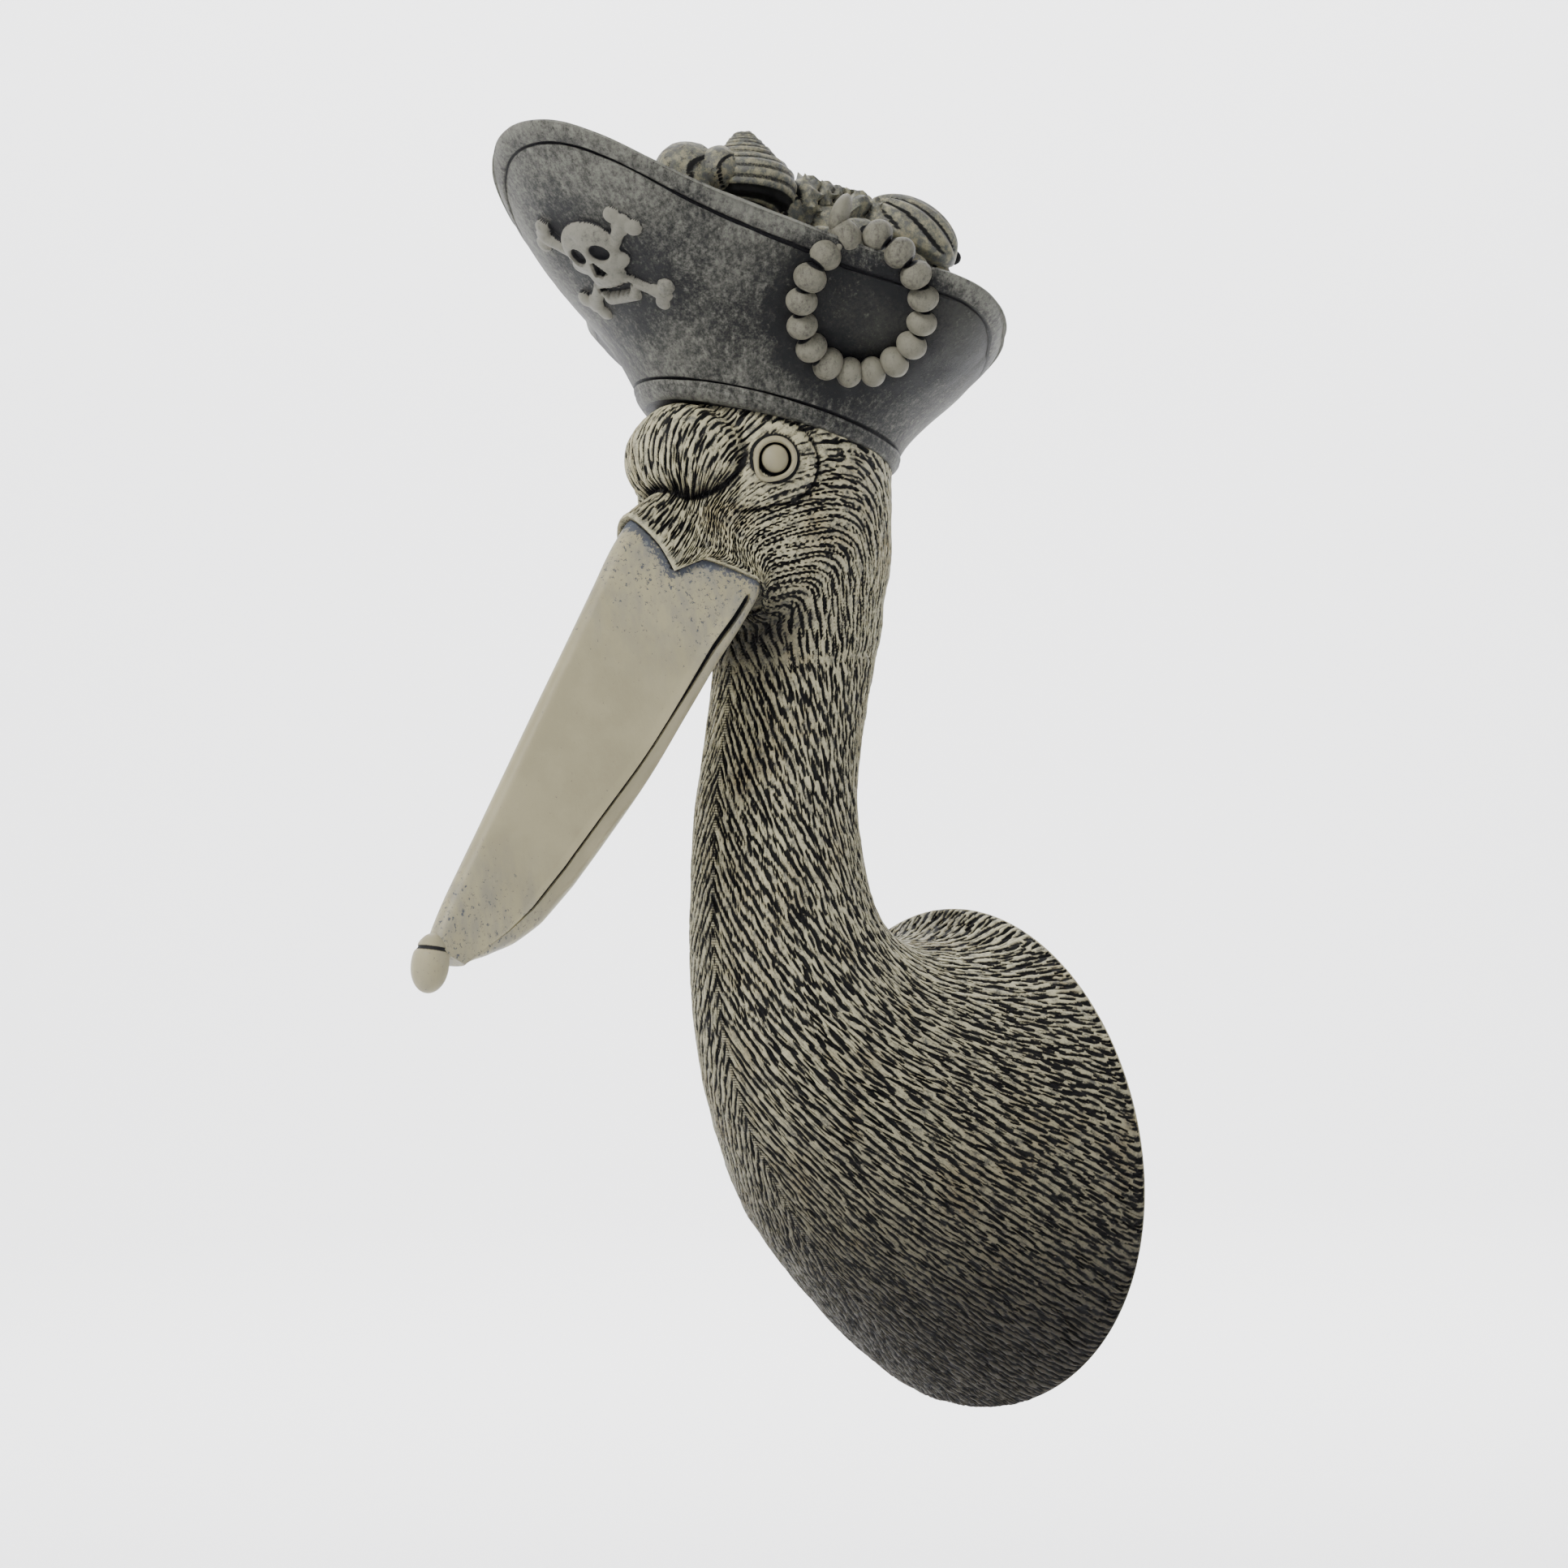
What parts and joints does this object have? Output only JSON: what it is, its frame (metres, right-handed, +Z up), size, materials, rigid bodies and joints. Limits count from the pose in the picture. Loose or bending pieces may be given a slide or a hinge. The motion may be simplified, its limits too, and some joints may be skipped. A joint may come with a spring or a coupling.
{
  "type": "pelican wall figurehead",
  "caption": "Wall-hung cast pelican head, neck and breast in a three-cornered hat heaped with shells and a bead loop.",
  "frame": {"origin": "middle of the flat oval back that lies against the wall", "axes": "+Y into the wall, -Y where the bird faces, +Z up, +X the bird's left"},
  "size_m": [0.197, 0.2712, 0.4804],
  "materials": {
    "cast_resin": "cream paint with a dark blue-grey wash in the carving, matte",
    "hat_resin": "blue-grey paint dry-brushed with cream, matte",
    "beak_resin": "smooth cream paint with specks of dark wash, satin"
  },
  "bodies": {
    "root": {"pelican_bust": "cast_resin"}
  },
  "joints": []
}
